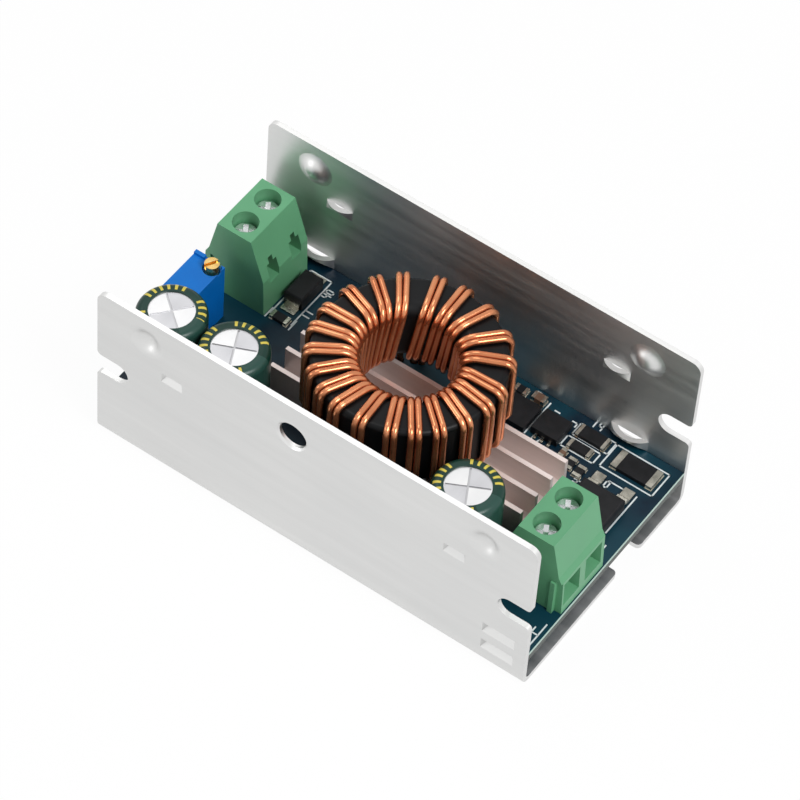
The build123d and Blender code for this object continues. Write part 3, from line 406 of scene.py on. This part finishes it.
def dress_all():
    """Every CAD node gets its finish."""
    dress("case_channel", sheet_metal())
    dress("circuit_board", board_finish())
    dress("heatsink", EXTRUDED)
    dress("thermal_pad", PAD)
    dress("toroid_core", COATING)
    dress("trimmer_body", BLUE)
    dress("trimmer_screw", BRASS)
    dress("trimmer_pins", STEEL)
    dress("solder_joints", SOLDER)
    for node in ("power_transistors", "control_chip", "chip_resistor_body", "shunt_resistor_body",
                 "rectifier_diode_body", "driver_chip_body", "power_package_body"):
        dress(node, MOULDED)
    dress("chip_capacitor_body", CERAMIC)
    for node in ("chip_resistor_terminals", "shunt_resistor_terminals", "chip_capacitor_terminals",
                 "rectifier_diode_leads", "driver_chip_leads", "power_package_leads"):
        dress(node, SOLDER)
    for number in (1, 2):
        dress(f"winding_strand_{number}", wire_finish(f"enamelled_wire_{number}"))
    for block in ("input", "output"):
        dress(f"{block}_terminal_housing", GREEN)
        for number in (1, 2):
            dress(f"{block}_screw_{number}", STEEL)
            dress(f"{block}_clamp_{number}", STEEL)
            dress(f"{block}_contact_{number}", SOLDER)
    for number, (turn, score_turn) in enumerate(zip(SLEEVE_TURNS, SCORE_TURNS), start=1):
        dress(f"capacitor_{number}_can", can_finish(number, score_turn))
        dress(f"capacitor_{number}_sleeve", sleeve_finish(number, turn))
        dress(f"capacitor_{number}_seal", RUBBER)
        dress(f"capacitor_{number}_leads", STEEL)


def strip(corners, faces, start, end, half_width, bottom, top):
    """Adds a thin flat bar between two points of the plane, its ends run on by half its width."""
    along = (Vector(end) - Vector(start)).normalized() * half_width
    aside = Vector((-along.y, along.x))
    first = Vector(start) - along
    last = Vector(end) + along
    base = len(corners)
    outline = (first - aside, last - aside, last + aside, first + aside)
    for height in (bottom, top):
        corners.extend((*point, height) for point in outline)
    faces.append((base + 3, base + 2, base + 1, base))
    faces.append((base + 4, base + 5, base + 6, base + 7))
    for corner in range(4):
        after = (corner + 1) % 4
        faces.append((base + corner, base + after, base + after + 4, base + corner + 4))


def add_flat_piece(name, bars, thickness, material):
    """One mesh made of flat bars that lie on the board, in millimetres."""
    board_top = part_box("circuit_board")[1][2] / MM
    corners = []
    faces = []
    for start, end, half_width in bars:
        strip(corners, faces, start, end, half_width, board_top, board_top + thickness)
    mesh = bpy.data.meshes.new(name)
    mesh.from_pydata([tuple(value * MM for value in corner) for corner in corners], [], faces)
    mesh.materials.append(material)
    piece = bpy.data.objects.new(name, mesh)
    bpy.context.scene.collection.objects.link(piece)
    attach(piece, "module")


def figure_lines():
    """The plain figures' lines, set out on the board."""
    lines = []
    for figures, (x, y), turn in BOARD_FIGURES:
        along = Vector((math.cos(math.radians(turn)), math.sin(math.radians(turn)))) * FIGURE_SIZE
        up = Vector((-along.y, along.x))
        for place, figure in enumerate(figures):
            origin = Vector((x, y)) + along * place * FIGURE_STEP
            for line in FIGURES[figure]:
                lines.append([tuple(origin + along * across + up * rise) for across, rise in line])
    return lines


def add_print():
    """White lines and figures on the board's top."""
    bars = [(start, end, PRINT_WIDTH / 2)
            for line in BOARD_LINES + figure_lines() for start, end in zip(line, line[1:])]
    add_flat_piece("board_print", bars, PRINT_HEIGHT, PRINT)


def islands(node):
    """The flat outline of each separate solid in a node: lowest and highest X and Y in millimetres."""
    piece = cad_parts[node]
    spots = [tuple(round(value / MM, CORNER_DECIMALS) for value in piece.matrix_world @ vertex.co)
             for vertex in piece.data.vertices]
    owner = {spot: spot for spot in spots}

    def root(spot):
        while owner[spot] != spot:
            spot = owner[spot]
        return spot

    for face in piece.data.polygons:
        first = root(spots[face.vertices[0]])
        for index in face.vertices[1:]:
            owner[root(spots[index])] = first
    members = {}
    for spot in owner:
        members.setdefault(root(spot), []).append(spot)
    return [(min(p[0] for p in group), max(p[0] for p in group),
             min(p[1] for p in group), max(p[1] for p in group)) for group in members.values()]


def add_pads():
    """A tinned pad under each chip terminal, a little larger than the terminal."""
    bars = []
    for node in ("chip_resistor_terminals", "chip_capacitor_terminals", "shunt_resistor_terminals"):
        for left, right, near, far in islands(node):
            middle = Vector(((left + right) / 2, (near + far) / 2))
            width, length = sorted((right - left, far - near))
            run = Vector((length - width, 0)) if right - left > far - near else Vector((0, length - width))
            run = run / 2 if run.length > PAD_MARGIN else Vector((PAD_MARGIN, 0))
            bars.append((middle - run, middle + run, width / 2 + PAD_MARGIN))
    add_flat_piece("solder_pads", bars, PAD_HEIGHT, SOLDER)


def seen_directly(nodes, links):
    """One for rays from the camera or off a mirror-like surface, zero for soft bounces."""
    path = nodes.new("ShaderNodeLightPath")
    total = path.outputs["Is Camera Ray"]
    for name in ("Is Glossy Ray", "Is Transmission Ray"):
        node = nodes.new("ShaderNodeMath")
        node.operation = "MAXIMUM"
        links.new(total, node.inputs[0])
        links.new(path.outputs[name], node.inputs[1])
        total = node.outputs["Value"]
    return total


def floor_material():
    """Pale matt floor. What looks straight at it sees mostly plain white, so its shadow stays light."""
    shade = Shade("stage_white")
    colour = shade.ramp(shade.noise(3.0), [(0.3, linear(240, 240, 240)), (0.7, linear(246, 246, 246))])
    shade.finish(colour, 0.9, specular=0.1)
    glow = shade.nodes.new("ShaderNodeEmission")
    glow.inputs["Strength"].default_value = 1.0
    blend = shade.nodes.new("ShaderNodeMixShader")
    share = shade.math("MULTIPLY", seen_directly(shade.nodes, shade.links), FLOOR_WHITE_SHARE)
    shade.link(share, blend.inputs["Fac"])
    shade.link(shade.surface.outputs["BSDF"], blend.inputs[1])
    shade.link(glow.outputs["Emission"], blend.inputs[2])
    shade.link(blend.outputs["Shader"], shade.nodes["Material Output"].inputs["Surface"])
    return shade.material


def add_floor():
    """A pale floor that reads as white."""
    half = FLOOR_HALF
    corners = [(-half, -half, 0), (half, -half, 0), (half, half, 0), (-half, half, 0)]
    mesh = bpy.data.meshes.new("stage_floor")
    mesh.from_pydata(corners, [], [(0, 1, 2, 3)])
    mesh.materials.append(floor_material())
    floor = bpy.data.objects.new("stage_floor", mesh)
    floor.location.z = -FLOOR_DROP
    bpy.context.scene.collection.objects.link(floor)


def add_lamps():
    """Soft round studio lamps."""
    for name, place, size, power in LAMPS:
        data = bpy.data.lights.new("lamp_" + name, "AREA")
        data.shape = "DISK"
        data.size = size
        data.energy = power
        lamp = bpy.data.objects.new("lamp_" + name, data)
        lamp.location = place
        aim = Vector(LAMP_AIM) - Vector(place)
        lamp.rotation_mode = "QUATERNION"
        lamp.rotation_quaternion = aim.to_track_quat("-Z", "Y")
        bpy.context.scene.collection.objects.link(lamp)


def add_world():
    """Soft light all round. The camera and mirror-like surfaces see it as plain white."""
    world = bpy.data.worlds.new("studio")
    bpy.context.scene.world = world
    world.use_nodes = True
    nodes = world.node_tree.nodes
    links = world.node_tree.links
    background = nodes["Background"]
    background.inputs["Color"].default_value = (1, 1, 1, 1)
    strength = nodes.new("ShaderNodeMapRange")
    strength.inputs["To Min"].default_value = WORLD_LEVEL
    strength.inputs["To Max"].default_value = 1.0
    links.new(seen_directly(nodes, links), strength.inputs["Value"])
    links.new(strength.outputs["Result"], background.inputs["Strength"])


def add_camera():
    """The camera that took the picture."""
    data = bpy.data.cameras.new("camera")
    data.sensor_width = SENSOR_WIDTH
    data.lens = FOCAL_PIXELS / PICTURE_WIDTH * SENSOR_WIDTH
    data.clip_start = CAMERA_NEAREST
    data.clip_end = CAMERA_FARTHEST
    camera = bpy.data.objects.new("camera", data)
    axes = Matrix((Vector(CAMERA_RIGHT), Vector(CAMERA_UP), Vector(CAMERA_BACK)))
    camera.matrix_world = Matrix.Translation(Vector(CAMERA_PLACE)) @ axes.transposed().to_4x4()
    bpy.context.scene.collection.objects.link(camera)
    bpy.context.scene.camera = camera


dress_all()
add_print()
add_pads()
add_floor()
add_lamps()
add_world()
add_camera()
bpy.context.scene.view_settings.view_transform = "Standard"
